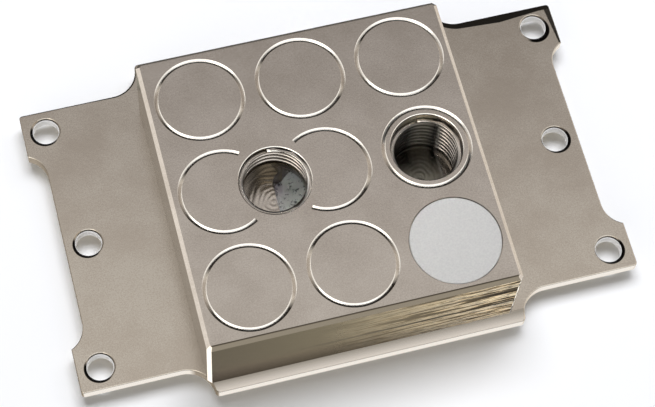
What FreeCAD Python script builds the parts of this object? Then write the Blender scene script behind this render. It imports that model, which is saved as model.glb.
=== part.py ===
"""Liquid cooling cold plate for a processor: a square, nickel-plated top block with two G1/4
ports, screwed from beneath to a finned cold plate, with a loose mounting bracket held between.

Frame: millimetres, +X to the outlet side, +Y to the back, +Z up out of the ports. The origin is
the centre of the bracket's hole pattern, on the contact face of the cold plate.
"""
import FreeCAD, Part
import math
import os

V = FreeCAD.Vector

# --- mounting bracket -------------------------------------------------------------------------
HOLE_SPAN_X = 96.0          # corner holes, centre to centre
HOLE_SPAN_Y = 48.0
SIDE_SPAN_X = 90.0          # the single hole in the middle of each wing
BOLT_HOLE_D = 4.8
BOLT_HOLE_CHAMFER = 0.4     # upper face
TAB_EDGE_X = 4.3            # from a corner hole to the end of its tab
TAB_EDGE_Y = 4.2            # from a corner hole to the long edge of the wing
BRACKET_T = 2.2
BRACKET_BODY_X = 58.0       # the deeper middle part that the block stands on
BRACKET_BODY_Y = 67.6
BODY_CORNER = 0.8           # rounding of the four corners of that middle part
BRACKET_FILLET = 5.2        # where a wing meets the middle part
NOTCH_LENGTH = 40.0         # shallow recess in each end, between its two tabs
NOTCH_DEPTH = 2.9
NOTCH_FILLET = 5.0
BRACKET_EDGE = 0.15         # broken edge round the upper face
TAB_CORNER = 0.6            # outer corners of the tabs
WINDOW_GAP = 0.4            # play round the raised middle of the cold plate
BRACKET_PLAY = 0.1          # the bracket floats by this much between plate and block

# --- top block --------------------------------------------------------------------------------
BLOCK_SHIFT_X = -1.5        # centre of the block from the centre of the hole pattern
BLOCK_SHIFT_Y = -3.3
BLOCK_X = 57.0
BLOCK_Y = 57.0
BLOCK_T = 17.0
BLOCK_EDGE = 0.7            # 45 degree chamfer of the top face
BLOCK_CORNER = 0.7          # bevel down each upright corner
GRID_PITCH = 18.7           # three by three grid of rings on the top face
RING_R = 7.85               # centre line of a ring, the bottom of its V groove
RING_W = 0.8                # across the groove at the face
RING_DEPTH = 0.36
RING_OPEN_ANGLE = 57.0      # the two open rings end this far either side of the inlet port

# --- ports, G1/4 ------------------------------------------------------------------------------
THREAD_MAJOR_R = 6.5785
THREAD_MINOR_R = 5.85
THREAD_PITCH = 1.337
INLET_TURNS = 4
OUTLET_TURNS = 8
PORT_EDGE = 0.12            # broken edge of both mouths
INLET_DEPTH = 9.4           # to the milled floor of the inlet
OUTLET_MOUTH = 1.5          # plain mouth of the outlet, as wide as the thread that starts below
OUTLET_DEPTH = 13.0

# --- waterways under the top block ------------------------------------------------------------
CHAMBER = 39.2              # square chamber that the fin field reaches up into
CHAMBER_DEPTH = 2.6
CHAMBER_FILLET = 6.0
PLENUM_R = 8.6              # round feed pocket over the jet slot
PLENUM_ROOF = 7.2           # from the top face to the roof of the feed pocket
FEED_REACH = 8.8            # slot from the middle of that pocket out under the inlet
FEED_Y = 11.5
FEED_FILLET = 2.75
DRAIN_X = 3.2               # slot from the chamber up into the outlet
DRAIN_Y = 4.6
DRAIN_SHIFT_Y = -2.6        # the slot lies in the front half of the outlet's floor

# --- cold plate -------------------------------------------------------------------------------
FLANGE = 54.0               # square, under the bracket
FLANGE_T = 2.5
FLANGE_FILLET = 2.0
BOSS = 49.2                 # raised middle that carries the top block
BOSS_FILLET = 2.5
FIN_FIELD_X = 31.0          # along the fins
FIN_FIELD_Y = 33.0
FIN_T = 0.3
FIN_GAP = 0.3
FIN_HEIGHT = 3.4
FIELD_RIM = 1.2             # solid strip left at both sides of the fin field

# --- jet plate --------------------------------------------------------------------------------
JET_T = 0.5
JET_SLOT_X = 1.2
JET_SLOT_Y = 16.0
JET_FILLET = 1.0

# --- seal -------------------------------------------------------------------------------------
SEAL = 43.2                 # square through the middle of the cord
SEAL_FILLET = 8.0           # its corner radius, same line
CORD_W = 1.5
SEAL_GAP = 0.2              # room beside the cord in its groove
SEAL_DEPTH = 1.2            # groove depth, the height of the squeezed cord
CORD_ROUND = 0.35           # its edges, bevelled for the round of the cord

# --- clamp screws, M3 with low cylinder heads -------------------------------------------------
SCREW_SPAN = 43.6
SCREW_R = 1.5
SCREW_HEAD_R = 2.75
SCREW_HEAD_H = 2.0
SCREW_LENGTH = 8.0          # under the head
HEX_FLATS = 2.0
HEX_DEPTH = 1.1
SCREW_CLEARANCE = 0.1       # in the cold plate
TAP_CLEARANCE = 0.02        # in the tapped holes of the block
TAP_EXTRA = 1.5             # tapped hole beyond the screw's end
HEAD_SUNK = 0.15            # heads lie below the contact face

# --- badge ------------------------------------------------------------------------------------
BADGE_R = 8.22
BADGE_T = 0.8
BADGE_GAP = 0.12            # round the disc in its recess
BADGE_SUNK = 0.06
BADGE_EDGE = 0.1
GLUE_T = 0.1
GLUE_INSET = 0.6

# --- levels that follow from the sizes --------------------------------------------------------
Z_BRACKET = FLANGE_T
Z_BLOCK = FLANGE_T + BRACKET_T + BRACKET_PLAY
Z_TOP = Z_BLOCK + BLOCK_T
Z_CHAMBER = Z_BLOCK + CHAMBER_DEPTH
Z_FIN_TOP = Z_CHAMBER - JET_T
Z_FIN_FLOOR = Z_FIN_TOP - FIN_HEIGHT
BX, BY = BLOCK_SHIFT_X, BLOCK_SHIFT_Y
INLET_X = BX - GRID_PITCH / 2
OUTLET_X = BX + GRID_PITCH
BADGE_X, BADGE_Y = BX + GRID_PITCH, BY - GRID_PITCH
DRAIN_CX = BX + CHAMBER / 2 - DRAIN_X / 2
OVER = 1.0                  # how far a cutter reaches past a face


# --- helpers ----------------------------------------------------------------------------------
def block(cx, cy, z, lx, ly, lz, fillet=0.0):
    """Upright prism centred on (cx, cy), from z up, with rounded upright corners."""
    body = Part.makeBox(lx, ly, lz, V(cx - lx / 2, cy - ly / 2, z))
    if fillet > 0:
        body = body.makeFillet(fillet, upright_edges(body))
    return body


def upright_edges(body):
    found = []
    for edge in body.Edges:
        a, b = edge.Vertexes[0].Point, edge.Vertexes[-1].Point
        if abs(a.x - b.x) < 1e-6 and abs(a.y - b.y) < 1e-6:
            found.append(edge)
    return found


def edges_at(body, z):
    return [e for e in body.Edges if all(abs(v.Z - z) < 1e-6 for v in e.Vertexes)
            and abs(e.BoundBox.ZLength) < 1e-6]


def cylinder(x, y, z, r, h):
    return Part.makeCylinder(r, h, V(x, y, z))


def cone(x, y, z, r_low, r_high, h):
    return Part.makeCone(r_low, r_high, h, V(x, y, z))


def square_points(span_x, span_y, cx=0.0, cy=0.0):
    return [(cx + sx * span_x / 2, cy + sy * span_y / 2) for sx in (-1, 1) for sy in (-1, 1)]


def screw_points():
    return square_points(SCREW_SPAN, SCREW_SPAN, BX, BY)


def ring_cutter(x, y, open_towards=None):
    """V section turned about (x, y); an open ring misses the sector around open_towards."""
    rise = RING_DEPTH + OVER
    half = RING_W / 2 * rise / RING_DEPTH
    section = Part.Face(Part.makePolygon([
        V(x + RING_R, y, Z_TOP - RING_DEPTH), V(x + RING_R + half, y, Z_TOP + OVER),
        V(x + RING_R - half, y, Z_TOP + OVER), V(x + RING_R, y, Z_TOP - RING_DEPTH)]))
    centre, axis = V(x, y, 0), V(0, 0, 1)
    if open_towards is None:
        return section.revolve(centre, axis, 360)
    section.rotate(centre, axis, open_towards + RING_OPEN_ANGLE)
    return section.revolve(centre, axis, 360 - 2 * RING_OPEN_ANGLE)


def port_cutters(x, wide_length, depth):
    """Bore of one port: broken edge, the length as wide as its thread, and down to its floor."""
    return [cone(x, BY, Z_TOP - PORT_EDGE, THREAD_MAJOR_R, THREAD_MAJOR_R + PORT_EDGE, PORT_EDGE),
            cylinder(x, BY, Z_TOP - wide_length, THREAD_MAJOR_R, wide_length + OVER),
            cylinder(x, BY, Z_TOP - depth, THREAD_MINOR_R, depth + OVER)]


def save(shape, name):
    shape.exportStep(os.path.join("parts", name + ".step"))


# --- mounting bracket -------------------------------------------------------------------------
def make_bracket():
    wing_y = HOLE_SPAN_Y + 2 * TAB_EDGE_Y
    length = HOLE_SPAN_X + 2 * TAB_EDGE_X
    plate = block(0, 0, Z_BRACKET, BRACKET_BODY_X, BRACKET_BODY_Y, BRACKET_T).fuse(
        block(0, 0, Z_BRACKET, length, wing_y, BRACKET_T)).removeSplitter()
    inner = [e for e in upright_edges(plate)
             if abs(abs(e.Vertexes[0].X) - BRACKET_BODY_X / 2) < 1e-6
             and abs(abs(e.Vertexes[0].Y) - wing_y / 2) < 1e-6]
    step = (BRACKET_BODY_Y - wing_y) / 2
    plate = plate.makeFillet(min(BRACKET_FILLET, step - 2 * BRACKET_EDGE), inner)
    tips = [e for e in upright_edges(plate) if abs(abs(e.Vertexes[0].X) - length / 2) < 1e-6]
    plate = plate.makeFillet(TAB_CORNER, tips)
    corners = [e for e in upright_edges(plate)
               if abs(abs(e.Vertexes[0].Y) - BRACKET_BODY_Y / 2) < 1e-6]
    plate = plate.makeFillet(BODY_CORNER, corners)
    reach = NOTCH_DEPTH + 2 * NOTCH_FILLET
    for side in (-1, 1):
        x = side * (length / 2 - NOTCH_DEPTH + reach / 2)
        plate = plate.cut(block(x, 0, Z_BRACKET - OVER, reach, NOTCH_LENGTH,
                                BRACKET_T + 2 * OVER, NOTCH_FILLET))
    plate = plate.makeChamfer(BRACKET_EDGE, edges_at(plate, Z_BRACKET + BRACKET_T))
    window = BOSS + 2 * WINDOW_GAP
    plate = plate.cut(block(BX, BY, Z_BRACKET - OVER, window, window, BRACKET_T + 2 * OVER,
                            BOSS_FILLET))
    r = BOLT_HOLE_D / 2
    c = BOLT_HOLE_CHAMFER
    holes = square_points(HOLE_SPAN_X, HOLE_SPAN_Y) + [(-SIDE_SPAN_X / 2, 0), (SIDE_SPAN_X / 2, 0)]
    for x, y in holes:
        plate = plate.cut(cylinder(x, y, Z_BRACKET - OVER, r, BRACKET_T + 2 * OVER))
        plate = plate.cut(cone(x, y, Z_BRACKET + BRACKET_T - c, r, r + c, c))
    return plate


# --- top block --------------------------------------------------------------------------------
def make_top_block():
    body = block(BX, BY, Z_BLOCK, BLOCK_X, BLOCK_Y, BLOCK_T)
    body = body.makeChamfer(BLOCK_CORNER, upright_edges(body))
    body = body.makeChamfer(BLOCK_EDGE, edges_at(body, Z_TOP))

    # engraved rings: closed ones, then the two that open towards the inlet port
    closed = [(-1, 1), (0, 1), (1, 1), (1, 0), (-1, -1), (0, -1)]
    cutters = [ring_cutter(BX + i * GRID_PITCH, BY + j * GRID_PITCH) for i, j in closed]
    cutters.append(ring_cutter(BX - GRID_PITCH, BY, open_towards=0))
    cutters.append(ring_cutter(BX, BY, open_towards=180))

    # badge recess
    recess = BADGE_SUNK + BADGE_T + GLUE_T
    cutters.append(cylinder(BADGE_X, BADGE_Y, Z_TOP - recess, BADGE_R + BADGE_GAP, recess + OVER))

    # ports: broken edge, threaded length, and a plain bore down to the milled floor
    cutters += port_cutters(INLET_X, PORT_EDGE + INLET_TURNS * THREAD_PITCH, INLET_DEPTH)
    cutters += port_cutters(OUTLET_X, OUTLET_MOUTH + OUTLET_TURNS * THREAD_PITCH, OUTLET_DEPTH)

    # waterways milled from beneath
    below = Z_BLOCK - OVER
    pocket = Z_TOP - PLENUM_ROOF - below
    cutters.append(block(BX, BY, below, CHAMBER, CHAMBER, Z_CHAMBER - below, CHAMBER_FILLET))
    cutters.append(cylinder(BX, BY, below, PLENUM_R, pocket))
    cutters.append(block(BX - FEED_REACH / 2, BY, below, FEED_REACH, FEED_Y, pocket, FEED_FILLET))
    cutters.append(block(DRAIN_CX, BY + DRAIN_SHIFT_Y, below, DRAIN_X, DRAIN_Y,
                         Z_TOP - OUTLET_DEPTH + OVER - below, 0.45 * DRAIN_X))

    # seal groove
    outer, inner = seal_loops(CORD_W + SEAL_GAP)
    groove = block(BX, BY, below, outer[0], outer[0], SEAL_DEPTH + OVER, outer[1])
    groove = groove.cut(block(BX, BY, below - OVER, inner[0], inner[0], SEAL_DEPTH + 3 * OVER,
                              inner[1]))
    cutters.append(groove)

    # tapped holes for the clamp screws
    depth = HEAD_SUNK + SCREW_HEAD_H + SCREW_LENGTH - Z_BLOCK + TAP_EXTRA
    for x, y in screw_points():
        cutters.append(cylinder(x, y, below, SCREW_R + TAP_CLEARANCE, depth + OVER))
    for cutter in cutters:
        body = body.cut(cutter)
    return body


def seal_loops(width):
    """(side, corner radius) of the outer and the inner line of a band along the seal."""
    return ((SEAL + width, SEAL_FILLET + width / 2), (SEAL - width, SEAL_FILLET - width / 2))


# --- cold plate -------------------------------------------------------------------------------
def make_cold_plate():
    plate = block(BX, BY, 0, FLANGE, FLANGE, FLANGE_T, FLANGE_FILLET)
    plate = plate.fuse(block(BX, BY, 0, BOSS, BOSS, Z_BLOCK, BOSS_FILLET))
    # moat round the fin field, then the field itself
    plate = plate.cut(block(BX, BY, Z_FIN_FLOOR, CHAMBER, CHAMBER, Z_BLOCK, CHAMBER_FILLET))
    plate = plate.fuse(block(BX, BY, 0, FIN_FIELD_X, FIN_FIELD_Y, Z_FIN_TOP))
    pitch = FIN_T + FIN_GAP
    count = int((FIN_FIELD_Y - 2 * FIELD_RIM + FIN_T) / pitch)
    first = BY - (count - 1) * pitch / 2
    gaps = [block(BX, first + i * pitch, Z_FIN_FLOOR, FIN_FIELD_X + OVER, FIN_GAP,
                  FIN_HEIGHT + OVER) for i in range(count)]
    plate = plate.cut(Part.makeCompound(gaps)).removeSplitter()
    for x, y in screw_points():
        plate = plate.cut(cylinder(x, y, -OVER, SCREW_R + SCREW_CLEARANCE, Z_BLOCK + 2 * OVER))
        plate = plate.cut(cylinder(x, y, -OVER, SCREW_HEAD_R + SCREW_CLEARANCE,
                                   HEAD_SUNK + SCREW_HEAD_H + OVER))
    return plate


# --- jet plate --------------------------------------------------------------------------------
def make_jet_plate():
    plate = block(BX, BY, Z_FIN_TOP, FIN_FIELD_X, FIN_FIELD_Y, JET_T, JET_FILLET)
    slot = block(BX, BY, Z_FIN_TOP - OVER, JET_SLOT_X, JET_SLOT_Y, JET_T + 2 * OVER,
                 0.45 * JET_SLOT_X)
    return plate.cut(slot)


# --- seal ring --------------------------------------------------------------------------------
def make_seal_ring():
    outer, inner = seal_loops(CORD_W)
    ring = block(BX, BY, Z_BLOCK, outer[0], outer[0], SEAL_DEPTH, outer[1]).cut(
        block(BX, BY, Z_BLOCK - OVER, inner[0], inner[0], SEAL_DEPTH + 2 * OVER, inner[1]))
    return ring.makeChamfer(CORD_ROUND, edges_at(ring, Z_BLOCK)
                            + edges_at(ring, Z_BLOCK + SEAL_DEPTH))


# --- clamp screws -----------------------------------------------------------------------------
def make_screw(x, y):
    z = HEAD_SUNK
    screw = cylinder(x, y, z, SCREW_HEAD_R, SCREW_HEAD_H).fuse(
        cylinder(x, y, z + SCREW_HEAD_H, SCREW_R, SCREW_LENGTH))
    reach = HEX_FLATS / math.sqrt(3)
    corners = [V(x + reach * math.cos(math.radians(60 * i)),
                 y + reach * math.sin(math.radians(60 * i)), z - OVER) for i in range(7)]
    return screw.cut(Part.Face(Part.makePolygon(corners)).extrude(V(0, 0, HEX_DEPTH + OVER)))


# --- badge ------------------------------------------------------------------------------------
def make_badge():
    z = Z_TOP - BADGE_SUNK - BADGE_T
    disc = cylinder(BADGE_X, BADGE_Y, z, BADGE_R, BADGE_T)
    return disc.makeChamfer(BADGE_EDGE, edges_at(disc, z + BADGE_T))


def make_badge_adhesive():
    z = Z_TOP - BADGE_SUNK - BADGE_T - GLUE_T
    return cylinder(BADGE_X, BADGE_Y, z, BADGE_R - GLUE_INSET, GLUE_T)


os.makedirs("parts", exist_ok=True)
save(make_bracket(), "mounting_bracket")
save(make_top_block(), "top_block")
save(make_cold_plate(), "cold_plate")
save(make_jet_plate(), "jet_plate")
save(make_seal_ring(), "seal_ring")
save(Part.makeCompound([make_screw(x, y) for x, y in screw_points()]), "clamp_screws")
save(make_badge(), "badge")
save(make_badge_adhesive(), "badge_adhesive")
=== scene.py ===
import bpy
import bmesh
import math
from mathutils import Vector, Matrix


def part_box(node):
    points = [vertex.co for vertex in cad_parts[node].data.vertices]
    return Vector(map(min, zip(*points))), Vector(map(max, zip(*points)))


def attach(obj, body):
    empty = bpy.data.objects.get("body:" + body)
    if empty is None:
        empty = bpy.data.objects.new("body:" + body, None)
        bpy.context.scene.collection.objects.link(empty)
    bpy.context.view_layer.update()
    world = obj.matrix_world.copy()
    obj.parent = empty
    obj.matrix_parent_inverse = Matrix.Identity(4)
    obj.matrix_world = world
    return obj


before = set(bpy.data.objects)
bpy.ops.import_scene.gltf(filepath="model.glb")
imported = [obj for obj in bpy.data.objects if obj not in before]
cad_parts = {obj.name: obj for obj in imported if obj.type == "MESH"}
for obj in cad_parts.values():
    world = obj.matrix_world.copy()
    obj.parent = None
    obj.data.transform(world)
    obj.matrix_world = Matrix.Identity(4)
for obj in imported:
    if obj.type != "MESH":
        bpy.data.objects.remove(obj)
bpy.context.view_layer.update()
scene = bpy.context.scene


# --- Cold plate -------------------------------------------------------------------------------
# Copper base with a raised, finned middle, milled from one blank and nickel plated.
# It is the lowest piece; its flat underside, lapped for the processor, is all that shows.
MM = 0.001


def linear(hex_colour):
    """sRGB hex, such as "d3ccbf", to linear RGBA."""
    parts = [int(hex_colour[i:i + 2], 16) / 255 for i in (0, 2, 4)]
    return [c / 12.92 if c <= 0.04045 else ((c + 0.055) / 1.055) ** 2.4 for c in parts] + [1.0]


def fill(socket, value):
    """Link a node or an output to a socket, or set it to a number, a vector or a hex colour."""
    if isinstance(value, bpy.types.Node):
        value = next(output for output in value.outputs if output.enabled)
    if isinstance(value, bpy.types.NodeSocket):
        tree.links.new(value, socket)
    else:
        socket.default_value = linear(value) if isinstance(value, str) else value


def add(kind, *inputs, stops=(), **settings):
    """Add a node to the tree in hand. inputs fill its sockets in order, in_Name the one of that
    name; stops are (position, colour) or (position, colour, brightness) of a colour ramp, and
    the rest are the node's own settings."""
    node = tree.nodes.new("ShaderNode" + kind)
    for key, value in settings.items():
        if not key.startswith("in_"):
            setattr(node, key, value)
    for socket, value in zip([s for s in node.inputs if s.enabled], inputs):
        fill(socket, value)
    for key, value in settings.items():
        if key.startswith("in_"):
            fill(node.inputs[key[3:]], value)
    for i, (position, colour, *level) in enumerate(stops):
        elements = node.color_ramp.elements
        stop = elements[i] if i < 2 else elements.new(position)
        stop.position = position
        stop.color = [c * (level[0] if level else 1.0) for c in linear(colour)[:3]] + [1.0]
    return node


def new_material(name):
    """A material, its node tree and the sockets of its shader."""
    material = bpy.data.materials.new(name)
    material.use_nodes = True
    return material, material.node_tree, material.node_tree.nodes["Principled BSDF"].inputs


def in_mm(*scale):
    """Object coordinates in millimetres, squeezed by a scale for stretched patterns."""
    return add("Mapping", add("TexCoord").outputs["Object"],
               in_Scale=[k / MM for k in scale or (1, 1, 1)])


def assign(node_name, material):
    """Give every slot of a CAD node the material."""
    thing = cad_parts[node_name]
    if not thing.data.materials:
        thing.data.materials.append(material)
    for i in range(len(thing.data.materials)):
        thing.data.materials[i] = material


# Lapped nickel plate: a flat, fairly bright face with fine scratches, 0.17 mm wide and 2.5 mm
# long, coarser than real lapping so that they show.
lapped, tree, shader = new_material("lapped nickel plating")
scratch = add("TexNoise", in_mm(6, 0.4, 1), in_Scale=1.0, in_Detail=6.0)
fill(shader["Base Color"], "cfc6b8")
fill(shader["Metallic"], 1.0)
fill(shader["Roughness"], add("MapRange", scratch, 0.0, 1.0, 0.16, 0.32))
assign("cold_plate", lapped)


# --- Jet plate --------------------------------------------------------------------------------
# Thin stainless sheet with one long slot, laid on the fins; it spreads the inflow.
# Pickled and unpolished, it shows in the inlet as a dull grey with dark specks.
stainless, tree, shader = new_material("pickled stainless sheet")
# specks of about 0.8 mm, coarser than real pickling stains so that they show
stain = add("TexNoise", in_mm(), in_Scale=1.3, in_Detail=5.0, in_Roughness=0.7)
fill(shader["Base Color"], add("ValToRGB", stain, stops=[(0.36, "4c4e4e"), (0.47, "d2d1cc")]))
fill(shader["Metallic"], 0.25)
fill(shader["Roughness"], 0.55)
fill(shader["Normal"], add("Bump", in_Height=stain, in_Strength=0.5, in_Distance=0.2 * MM))
assign("jet_plate", stainless)


# --- Seal ring --------------------------------------------------------------------------------
# Nitrile rubber cord, squeezed into the groove between the top block and the cold plate.
# Moulded rubber is matt and nearly black, with a fine bloom that varies its sheen.
rubber, tree, shader = new_material("nitrile rubber")
# bloom in patches of 0.4 mm
bloom = add("TexNoise", in_mm(), in_Scale=2.5, in_Detail=4.0)
fill(shader["Base Color"], add("Mix", bloom, "191919", "1f1f1f", data_type="RGBA"))
fill(shader["Roughness"], add("MapRange", bloom, 0.0, 1.0, 0.54, 0.66))
fill(shader["IOR"], 1.52)
assign("seal_ring", rubber)


# --- Mounting bracket -------------------------------------------------------------------------
# Flat steel plate, stamped, polished and nickel plated; it is held loosely under the block.
# The wings are a warm, almost mirror-like grey with a faint orange-peel mottle, and the die has
# rolled the edges over. Painted reflection: the walls are painted whiter, as if mirroring the
# white table, and the rolled edges, some slopes and the near rims of the holes are painted dark.
BODY_HALF_X = 29.0                                  # the deeper middle part
WING_HALF_Y = 28.2
FILLET_R = 5.2                                      # where a wing meets the middle part
CORNER_X, CORNER_Y, SIDE_X = 48.0, 24.0, 45.0       # holes, from the centre of their pattern
HOLE_R, HOLE_RIM_R = 2.4, 2.8                       # the wall and the outside of its chamfer
TAB_Y = 19.6                                        # where the recess of an end gives way to a tab


def mask(*limits):
    """1 where all hold, 0 elsewhere: each limit is (value, where it starts, where it is full)."""
    held = 1.0
    for value, start, full in limits:
        held = add("MapRange", value, start, full, 0.0, held)
    return held


def length(a, b):
    """Length of the step (a, b)."""
    return add("VectorMath", add("CombineXYZ", a, b), operation="LENGTH")


bracket_plating, tree, shader = new_material("polished nickel plating")
# orange peel of 0.6 mm, and a tone that varies over 8 mm with a grain of 0.25 mm
peel = add("TexNoise", in_mm(), in_Scale=1.6, in_Detail=4.0)
mottle = add("TexNoise", in_mm(), in_Scale=0.12, in_Detail=3.0)
grain = add("TexNoise", in_mm(), in_Scale=4.0, in_Detail=2.0)
speck = add("Math", mottle, grain, operation="MULTIPLY")
face = add("Mix", add("MapRange", speck, 0.15, 0.36), "cac0b3", "dad2c6", data_type="RGBA")
px, py, pz = add("SeparateXYZ", in_mm()).outputs
nx, ny, nz = add("SeparateXYZ", add("TexCoord").outputs["Normal"]).outputs
across = add("Math", px, operation="ABSOLUTE")

# distances in from the back edge, with its fillets, from the right end and from the front edge
bracket_low, bracket_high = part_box("mounting_bracket")
end_x, body_y, plate_top = [value / MM for value in bracket_high]
plate_base = bracket_low[2] / MM
off_x = add("Math", BODY_HALF_X + FILLET_R, across, operation="SUBTRACT")
off_x = add("Math", off_x, 0.0, operation="MAXIMUM")
off_y = add("Math", WING_HALF_Y + FILLET_R, py, operation="SUBTRACT")
to_back = add("Math", length(off_x, off_y), FILLET_R, operation="SUBTRACT")
to_end = add("Math", end_x, px, operation="SUBTRACT")
to_front = add("Math", py, body_y)

# the roll is widest along the back of the right wing and at the end of its back tab; how far
# in a point lies from where the roll begins
back_reach = add("Math", add("MapRange", px, -40.0, 30.0, 0.25, 1.05),
                 add("MapRange", px, 31.0, 42.0, 0.0, 0.65))
back_reach = add("Math", back_reach, add("MapRange", px, 42.0, 50.0, 0.0, 0.7),
                 operation="SUBTRACT")
back_in = add("Math", back_reach, to_back, operation="SUBTRACT")
back_in = add("Math", back_in, 0.0, operation="MAXIMUM")
end_reach = add("MapRange", py, TAB_Y + 0.2, WING_HALF_Y - 0.7, 0.45, 1.25)
end_in = add("Math", end_reach, to_end, operation="SUBTRACT")
end_in = add("MapRange", py, TAB_Y, TAB_Y + 0.1, 0.0,
             add("Math", end_in, 0.0, operation="MAXIMUM"))

# heights of the rolled surface in millimetres: the front one covers the whole ledge
rolled = add("Math", add("MapRange", to_front, 0.16, 2.2, -2.3, 0.0),
             add("MapRange", pz, plate_base, plate_top - 0.1, 0.0, -1.4))
for depth_in, slope in ((back_in, -0.63), (end_in, -0.525)):
    rolled = add("Math", depth_in, slope, rolled, operation="MULTIPLY_ADD")
rolled_edge = add("Bump", in_Height=rolled, in_Strength=1.0, in_Distance=MM)
relief = add("Bump", in_Height=peel, in_Normal=rolled_edge, in_Strength=0.25,
             in_Distance=0.02 * MM)

# a point from the middle of its nearest hole, outwards and to the front
row_y = add("Math", add("Math", py, CORNER_Y / 2), CORNER_Y, operation="SNAP")
in_corner = add("Math", add("Math", row_y, operation="ABSOLUTE"), CORNER_Y / 2,
                operation="GREATER_THAN")
hole_x = add("Math", in_corner, CORNER_X - SIDE_X, SIDE_X, operation="MULTIPLY_ADD")
outward = add("Math", across, hole_x, operation="SUBTRACT")
frontward = add("Math", row_y, py, operation="SUBTRACT")
from_hole = length(outward, frontward)
bore = mask((from_hole, HOLE_R + 0.10, HOLE_R + 0.05))
# painted reflection: a near-black crescent around the near rim of each hole, shifted outwards and
# to the front, widest at the back right
back_right = add("Math", add("Math", px, 0.0, operation="GREATER_THAN"),
                 add("Math", py, CORNER_Y / 2, operation="GREATER_THAN"), operation="MULTIPLY")
drag = add("MapRange", back_right, 0.0, 1.0, 0.26, 0.75)
drag_x = add("Math", drag, add("MapRange", back_right, 0.0, 1.0, 0.65, 0.25),
             operation="MULTIPLY")
drag_y = add("Math", drag, 0.8, operation="MULTIPLY")
from_drag = length(add("Math", outward, drag_x, operation="SUBTRACT"),
                   add("Math", frontward, drag_y, operation="SUBTRACT"))
rim = mask((from_drag, HOLE_RIM_R + 0.06, HOLE_RIM_R - 0.04),
           (from_hole, HOLE_R + 0.02, HOLE_R + 0.10),
           (add("Math", outward, frontward), 0.4, 1.6))

# painted reflection: the ledge is painted darker at the back and paler towards its front edge
ledge = add("Mix", add("MapRange", to_front, 1.9, 0.3), "8f887e", "c4bcb2", data_type="RGBA")
most_in = add("Math", back_in, end_in, operation="MAXIMUM")
# painted reflection, in turn: the upright walls whiter, as if mirroring the white table; the
# rolled back and end edges dark; slopes facing back dark and slopes facing left darker; the hole
# walls white, as if mirroring the table; a near-black crescent at each hole's near rim
for where, colour in ((mask((to_front, 2.5, 2.1)), ledge),
                      (mask((nz, 0.6, 0.3)), "e2ddd6"),
                      (add("MapRange", most_in, 0.0, 0.12, 0.0, 0.85), "3a342e"),
                      (mask((ny, 0.3, 0.5), (nz, 0.95, 0.85)), "3a342e"),
                      (mask((nx, -0.3, -0.5), (nz, 0.95, 0.85)), "8f867a"),
                      (bore, "ffffff"), (rim, "100e0c")):
    face = add("Mix", where, face, colour, data_type="RGBA")
fill(shader["Base Color"], face)
fill(shader["Metallic"], add("MapRange", bore, 0.0, 1.0, 1.0, 0.35))
fill(shader["Roughness"], add("Math", bore, 0.4, add("MapRange", mottle, 0.0, 1.0, 0.16, 0.22),
                              operation="MULTIPLY_ADD"))
fill(shader["Normal"], relief)
assign("mounting_bracket", bracket_plating)


# --- Top block --------------------------------------------------------------------------------
# Solid brass block, milled all over and nickel plated; the rings are cut with a pointed cutter.
# The top is satin with a fine speckle; the side faces keep the level lines of the side mill.
block_low, block_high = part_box("top_block")
left_x, front_y, _ = [value / MM for value in block_low]
right_x, back_y, top_z = [value / MM for value in block_high]
middle_x, port_y = (left_x + right_x) / 2, (front_y + back_y) / 2
inlet_x, outlet_x = middle_x - 9.35, middle_x + 18.7
RING_FLOOR = 0.40                                   # depth below which no ring reaches
OUTLET_FLOOR_Z = 8.8
FLOORS_Z = 13.0                                     # both ports' floors lie below it
LOW_MARK_Z, HIGH_MARK_Z = 11.75, 17.2               # the two painted dark lines along the front
BORE_LIMITS = (7.4, 7.2)                            # just outside a port, from its middle
CIRCLE_PITCH = 0.9                                  # of the end mill's circles

block_plating, tree, shader = new_material("satin nickel plating")
# speckle of 0.45 mm, and a tone that varies over 7 mm with a grain of 0.25 mm
speckle = add("TexNoise", in_mm(), in_Scale=2.2, in_Detail=4.0)
mottle = add("TexNoise", in_mm(), in_Scale=0.15, in_Detail=3.0)
grain = add("TexNoise", in_mm(), in_Scale=4.0, in_Detail=2.0)
face = add("Mix", add("MapRange", add("Math", mottle, grain), 0.68, 1.32), "c6bdb3", "dbd3ca",
           data_type="RGBA")
px, py, pz = add("SeparateXYZ", in_mm()).outputs
nx, ny, nz = add("SeparateXYZ", add("TexCoord").outputs["Normal"]).outputs


def off(value, middle):
    """How far a value lies from a middle, on either side."""
    return add("Math", add("Math", value, middle, operation="SUBTRACT"), operation="ABSOLUTE")


# painted reflection: the front and left faces are painted darker, darkest to the left, for the
# dark they would mirror; the front has painted level streaks of reflection, 17 mm long and 0.9 mm
# high, bright and black, that grow brighter towards the right, and two painted dark lines
front = mask((ny, -0.8, -0.95))
left = add("MapRange", nx, -0.8, -0.95, 0.0,
           add("MapRange", px, left_x + 0.5, left_x + 0.4, 0.0, 0.75))
milled = add("Mix", mask((px, -29.0, -12.0)), "85796a", "9a8f7a", data_type="RGBA")
scuffs = add("TexNoise", in_mm(0.06, 0.06, 1.1), in_Scale=1.0, in_Detail=5.0, in_Roughness=0.62)
lines = add("ValToRGB", scuffs, stops=[(0.38, "0a0603"), (0.45, "4a3a22"), (0.49, "ffeccb"),
                                       (0.52, "fffaf0"), (0.55, "3c2f1c"), (0.60, "fff4dc")])
streak = mask((px, -10.0, 24.0), (ny, -0.8, -0.95))
high_mark = mask((off(pz, HIGH_MARK_Z), 0.5, 0.2), (px, 2.0, 22.0))
marks = add("Math", mask((off(pz, LOW_MARK_Z), 0.50, 0.28)), high_mark, operation="MAXIMUM")
marks = add("Math", marks, add("MapRange", px, -16.0, 10.0, 0.0, 0.9), operation="MULTIPLY")
marks = add("MapRange", ny, -0.8, -0.95, 0.0, marks)
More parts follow.
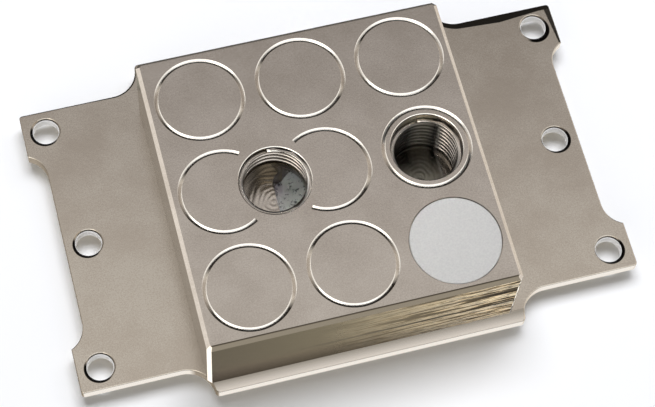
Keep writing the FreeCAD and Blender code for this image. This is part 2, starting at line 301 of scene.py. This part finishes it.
# painted shade: the front chamfer is painted darker than the top, with a painted dark line along
# its upper edge
bevel = mask((ny, -0.5, -0.6), (nz, 0.5, 0.6), (py, front_y + 1.0, front_y + 0.8))
burr = mask((pz, top_z - 0.10, top_z - 0.05), (py, front_y + 0.92, front_y + 0.84))
# painted reflection: the wall of each ring that faces back is painted dark; the other is painted
# bright
from_middle = add("Math", off(px, middle_x), off(py, port_y), operation="MAXIMUM")
groove = mask((nz, 0.50, 0.55), (nz, 0.95, 0.90), (from_middle, 27.5, 27.3),
              (pz, top_z - RING_FLOOR - 0.02, top_z - RING_FLOOR))
grime = mask((ny, 0.0, 0.3), (pz, top_z - 0.02, top_z - 0.06))
grime = add("Math", grime, groove, operation="MULTIPLY")
leftward = add("Math", add("Math", nx, -0.6, operation="MULTIPLY"), ny, operation="SUBTRACT")
cut = add("MapRange", leftward, -0.15, 0.05, 0.0, groove)
# painted reflection: the front right upright bevel is painted bright and black in turns of 0.6 mm,
# as a jagged edge would mirror
chip = add("TexNoise", in_mm(1.0, 1.0, 1.6), in_Scale=1.0, in_Detail=2.0)
chips = add("Mix", mask((chip, 0.50, 0.54)), "0c0a08", "ffffff", data_type="RGBA")
corner = mask((nx, 0.5, 0.6), (ny, -0.5, -0.6), (px, right_x - 1.0, right_x - 0.9))

# painted shade: below its first turns the outlet is painted dark, except to the right; a lighter
# painted shade darkens the flanks of both bores that face back, and less so those that face right
off_outlet, off_row = off(px, outlet_x), off(py, port_y)
film = add("Math", mask((ny, 0.0, 0.35)), add("MapRange", nx, 0.1, 0.6, 0.0, 0.7),
           operation="MAXIMUM")
in_bore = add("Math", mask((off(px, inlet_x), *BORE_LIMITS)), mask((off_outlet, *BORE_LIMITS)),
              operation="MAXIMUM")
film = add("Math", film, in_bore, operation="MULTIPLY")
film = add("MapRange", off_row, *BORE_LIMITS, 0.0, film)
film = add("MapRange", pz, top_z - 0.10, top_z - 0.16, 0.0, film)
oily = mask((off_outlet, *BORE_LIMITS), (off_row, *BORE_LIMITS),
            (pz, top_z - 2.2, top_z - 2.7), (px, outlet_x + 4.6, outlet_x + 3.6))
oily = add("Math", oily, film, operation="MAXIMUM")
# the painted shade is darkest on the left; it is painted paler in the middle and on the floor
wiped = add("MapRange", px, outlet_x + 3.2, outlet_x + 2.2, 0.0,
            add("MapRange", px, outlet_x - 1.5, outlet_x + 0.5, 0.0, 0.4))
wiped_floor = mask((pz, OUTLET_FLOOR_Z + 0.6, OUTLET_FLOOR_Z + 0.1),
                   (py, port_y + 3.5, port_y - 4.0))
wiped = add("Math", wiped_floor, wiped, operation="MAXIMUM")
oil = add("Mix", wiped, "211d18", "8d8778", data_type="RGBA")

# lay the painted shade, reflections and highlights over the plating
for where, colour in ((add("Math", front, left, operation="MAXIMUM"), milled),
                      (streak, lines), (marks, "1a130b"), (bevel, "857c6d"), (burr, "5c5448"),
                      (grime, "26211c"), (cut, "fffaf2"), (corner, chips), (oily, oil)):
    face = add("Mix", where, face, colour, data_type="RGBA")
# the painted streaks and the front right bevel are rougher
scuffed = add("Math", streak, corner, operation="MAXIMUM")
fill(shader["Base Color"], face)
fill(shader["Metallic"], add("MapRange", oily, 0.0, 1.0, 1.0, 0.45))
fill(shader["Roughness"], add("Math", scuffed, 0.45,
                              add("MapRange", speckle, 0.0, 1.0, 0.17, 0.27),
                              operation="MULTIPLY_ADD"))

# relief: level lines 0.4 mm high that deepen to the right, a fine orange peel, and on the
# floors of both ports the circles of the end mill, coarser than real so that they show
level_lines = add("TexNoise", in_mm(0.03, 0.03, 2.4), in_Scale=1.0, in_Detail=4.0)
level = add("Math", level_lines, add("MapRange", px, -20.0, 26.0, 0.15, 1.6),
            operation="MULTIPLY")
relief = add("Bump", in_Height=level, in_Strength=1.0, in_Distance=0.06 * MM)
relief = add("Bump", in_Height=speckle, in_Normal=relief, in_Strength=0.3,
             in_Distance=0.02 * MM)
BETWEEN_PORTS = (2.9, 3.0)
centre_x = add("MapRange", px, *BETWEEN_PORTS, inlet_x, outlet_x)
reach = length(add("Math", px, centre_x, operation="SUBTRACT"),
               add("Math", py, port_y, operation="SUBTRACT"))
wobble = add("Math", mottle, 25.0, operation="MULTIPLY")
phase = add("Math", reach, 2 * math.pi / CIRCLE_PITCH, wobble, operation="MULTIPLY_ADD")
circles = add("Math", add("Math", phase, operation="SINE"),
              mask((pz, FLOORS_Z + 0.2, FLOORS_Z), (nz, 0.7, 0.9)), operation="MULTIPLY")
fill(shader["Normal"], add("Bump", in_Height=circles, in_Normal=relief, in_Strength=1.0,
                           in_Distance=0.01 * MM))
assign("top_block", block_plating)


# --- Port threads -----------------------------------------------------------------------------
# G1/4 internal threads, one helical ridge in each port, cut with a tap from the mouth down and
# plated with the block, so that the crests catch the light as bright lines.
PITCH = 1.337
# section of a turn, Whitworth form with 55 degree flanks: radius and height
RIDGE = [(6.61, -0.60), (5.88, -0.22), (5.74, -0.09), (5.74, 0.09), (5.88, 0.22), (6.61, 0.60)]
STEPS = 40                                          # a turn


def thread_ridge(name, x, top, turns):
    """Helical ridge about (x, port_y) that winds down from the back of top, cut off level."""
    bm = bmesh.new()
    verts = [bm.verts.new(Vector((x, port_y + r, top + h)) * MM) for r, h in RIDGE]
    start = bm.faces.new(verts)
    bmesh.ops.spin(bm, geom=[start] + list(start.edges) + verts, cent=(x * MM, port_y * MM, 0),
                   axis=(0, 0, -1), dvec=(0, 0, -PITCH * MM / STEPS),
                   angle=2 * math.pi * turns, steps=int(STEPS * turns))
    bmesh.ops.remove_doubles(bm, verts=bm.verts, dist=1e-7)
    bmesh.ops.bisect_plane(bm, geom=list(bm.verts) + list(bm.edges) + list(bm.faces),
                           plane_co=(0, 0, top * MM), plane_no=(0, 0, 1), clear_outer=True)
    bmesh.ops.holes_fill(bm, edges=[e for e in bm.edges if e.is_boundary])
    bmesh.ops.recalc_face_normals(bm, faces=bm.faces)
    for turned in bm.faces:
        turned.smooth = True
    mesh = bpy.data.meshes.new(name)
    bm.to_mesh(mesh)
    bm.free()
    mesh.materials.append(block_plating)
    ridge = bpy.data.objects.new(name, mesh)
    scene.collection.objects.link(ridge)
    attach(ridge, "root")


thread_ridge("inlet_thread", inlet_x, top_z - 0.12, 3.8)
# the outlet's thread starts below a plain mouth
thread_ridge("outlet_thread", outlet_x, top_z - 1.5, 7.9)


# --- Clamp screws -----------------------------------------------------------------------------
# Four M3 socket screws of stainless steel that pull the cold plate and the block together.
# Turned and left bright, they show only from beneath, in their sinks.
screw_steel, tree, shader = new_material("turned stainless steel")
# turning marks of 0.3 mm, coarser than real so that they show
turning = add("TexNoise", in_mm(3, 3, 3), in_Scale=1.0, in_Detail=3.0)
fill(shader["Base Color"], "c4c6c8")
fill(shader["Metallic"], 1.0)
fill(shader["Roughness"], add("MapRange", turning, 0.0, 1.0, 0.22, 0.38))
assign("clamp_screws", screw_steel)


# --- Badge adhesive ---------------------------------------------------------------------------
# Black double-sided film, die cut to a disc and stuck into the block's recess; it has the same
# matt, nearly black look as the seal ring's rubber.
assign("badge_adhesive", rubber)


# --- Badge ------------------------------------------------------------------------------------
# Plain disc of bead-blasted, clear anodised aluminium, pressed onto its adhesive film; the
# face is left bare. Blasting gives a soft, even silver with a faint grain.
anodised, tree, shader = new_material("satin anodised aluminium")
# grain of 0.3 mm, coarser than real blasting so that it shows
bead = add("TexNoise", in_mm(), in_Scale=3.0, in_Detail=3.0)
fill(shader["Base Color"], add("Mix", mask((bead, 0.35, 0.65)), "dcdcdb", "e7e7e5",
                               data_type="RGBA"))
fill(shader["Metallic"], 0.75)
fill(shader["Roughness"], add("MapRange", bead, 0.0, 1.0, 0.42, 0.55))
assign("badge", anodised)


# --- Floor, light and camera ------------------------------------------------------------------
# White table that the metal doesn't mirror. The metal is lit by a pale tent, which is the
# world's colour by direction; softboxes, which it doesn't mirror either, light the table.
bm = bmesh.new()
bmesh.ops.create_grid(bm, x_segments=1, y_segments=1, size=2.0)
floor_mesh = bpy.data.meshes.new("floor")
bm.to_mesh(floor_mesh)
bm.free()
floor = bpy.data.objects.new("floor", floor_mesh)
scene.collection.objects.link(floor)
table, tree, shader = new_material("white card")
fill(shader["Base Color"], "f7f7f7")
fill(shader["Roughness"], 0.9)
floor_mesh.materials.append(table)
floor.visible_glossy = False


def soft_light(name, place, aim, size, power, colour="ffffff", spread=180):
    """Rectangular lamp that the metal doesn't mirror, in metres, watts and degrees."""
    lamp = bpy.data.lights.new(name, "AREA")
    lamp.shape = "RECTANGLE"
    lamp.size, lamp.size_y = size
    lamp.energy = power
    lamp.color = linear(colour)[:3]
    lamp.spread = math.radians(spread)
    holder = bpy.data.objects.new(name, lamp)
    holder.location = place
    holder.rotation_euler = (Vector(aim) - Vector(place)).to_track_quat("-Z", "Y").to_euler()
    holder.visible_glossy = False
    scene.collection.objects.link(holder)


soft_light("right softbox", (0.60, 0.30, 0.75), (0, 0, 0), (0.5, 0.5), 1.3, "f4f7ff")
soft_light("top softbox", (0.05, 0.27, 0.85), (0, 0, 0), (0.6, 0.4), 7.2, "f8faff")
# a small lamp with a honeycomb grid shines into the ports and misses the table
soft_light("port light", (-0.045, -0.11, 0.30), (0.002, -0.003, 0.02), (0.03, 0.03), 0.0024,
           spread=8)

world = bpy.data.worlds.new("studio")
scene.world = world
world.use_nodes = True
tree = world.node_tree
direction = add("TexCoord").outputs["Generated"]
_, _, up = add("SeparateXYZ", direction).outputs
# tent wall by height, from straight down (0) to straight up (1)
tent = add("ValToRGB", add("MapRange", up, -1.0, 1.0), stops=[
    (0.0, "fffbe8", 0.40), (0.14, "fff8e6", 0.42), (0.36, "fff6e8", 0.95),
    (0.45, "fffcf8", 1.20), (0.57, "fffcf8", 1.10), (0.64, "fffcf8", 0.85),
    (0.80, "ffffff", 0.80)])
# roof by depth, and a little by width: dark on the near side, brightest just behind the middle
depth = add("VectorMath", direction, (0.25, 1.0, 0.0), operation="DOT_PRODUCT")
roof = add("ValToRGB", add("MapRange", depth, -1.0, 1.0), stops=[
    (0.30, "fffaf2", 0.03), (0.42, "fffaf2", 0.04), (0.51, "fffcf6", 0.32),
    (0.61, "fffcf8", 0.74), (0.66, "fffcf8", 0.79), (0.685, "fffcf8", 0.73),
    (0.71, "fffbfa", 0.61), (0.725, "fffbfa", 0.50), (0.7425, "fffaf8", 0.39),
    (0.76, "fff8f4", 0.28)])
SMOOTH = {"interpolation_type": "SMOOTHSTEP"}
shell = add("Mix", add("MapRange", up, 0.62, 0.80, **SMOOTH), tent, roof, data_type="RGBA")
# cards and gaps in the tent: direction, cosines of its rim and its full part, share, colour
below = add("MapRange", up, 0.45, 0.20, **SMOOTH)
for aim, edge, full, share, colour in (
        ((-0.38, -0.14, -0.914), 0.95, 0.985, 1.0, (2.0, 1.95, 1.85)),    # low, front left
        ((0.6, -0.3, -0.74), 0.865, 0.94, 1.0, (2.0, 1.8, 1.42)),         # low, right
        ((-0.73, -0.49, 0.45), 0.86, 0.95, 1.0, (2.2, 2.15, 2.05)),       # window, left
        ((0.14, -0.87, 0.47), 0.72, 0.96, 1.0, (1.2, 1.2, 1.2)),          # card, front
        ((0.05, 0.99, -0.1), 0.62, 0.74, below, (0.14, 0.135, 0.125)),    # gap, low at the back
        ((0.85, 0.38, 0.37), 0.955, 0.985, 1.0, (0.02, 0.02, 0.02))):     # gap, right
    near = add("VectorMath", direction, Vector(aim).normalized(), operation="DOT_PRODUCT")
    shell = add("Mix", add("MapRange", near, edge, full, 0.0, share, **SMOOTH), shell,
                (*colour, 1.0), data_type="RGBA")
sky = tree.nodes["Background"].inputs
fill(sky["Color"], shell)
# the table gets most of its light from the softboxes, so that the part's shadow shows on it
fill(sky["Strength"], add("MapRange", add("LightPath").outputs["Is Diffuse Ray"], 0.0, 1.0,
                          1.0, 0.3))

lens = bpy.data.cameras.new("camera")
lens.sensor_width = 36.0
lens.lens = 113.87
lens.clip_start = 0.01
eye = bpy.data.objects.new("camera", lens)
place = Vector((-0.0544, -0.1491, 0.3568))
forward = Vector((0.14034, 0.38001, -0.91427))
roll = Matrix.Rotation(math.radians(6.05), 3, "Z")
turn = forward.to_track_quat("-Z", "Y").to_matrix() @ roll
eye.matrix_world = Matrix.Translation(place) @ turn.to_4x4()
scene.collection.objects.link(eye)
scene.camera = eye
scene.view_settings.view_transform = "Standard"
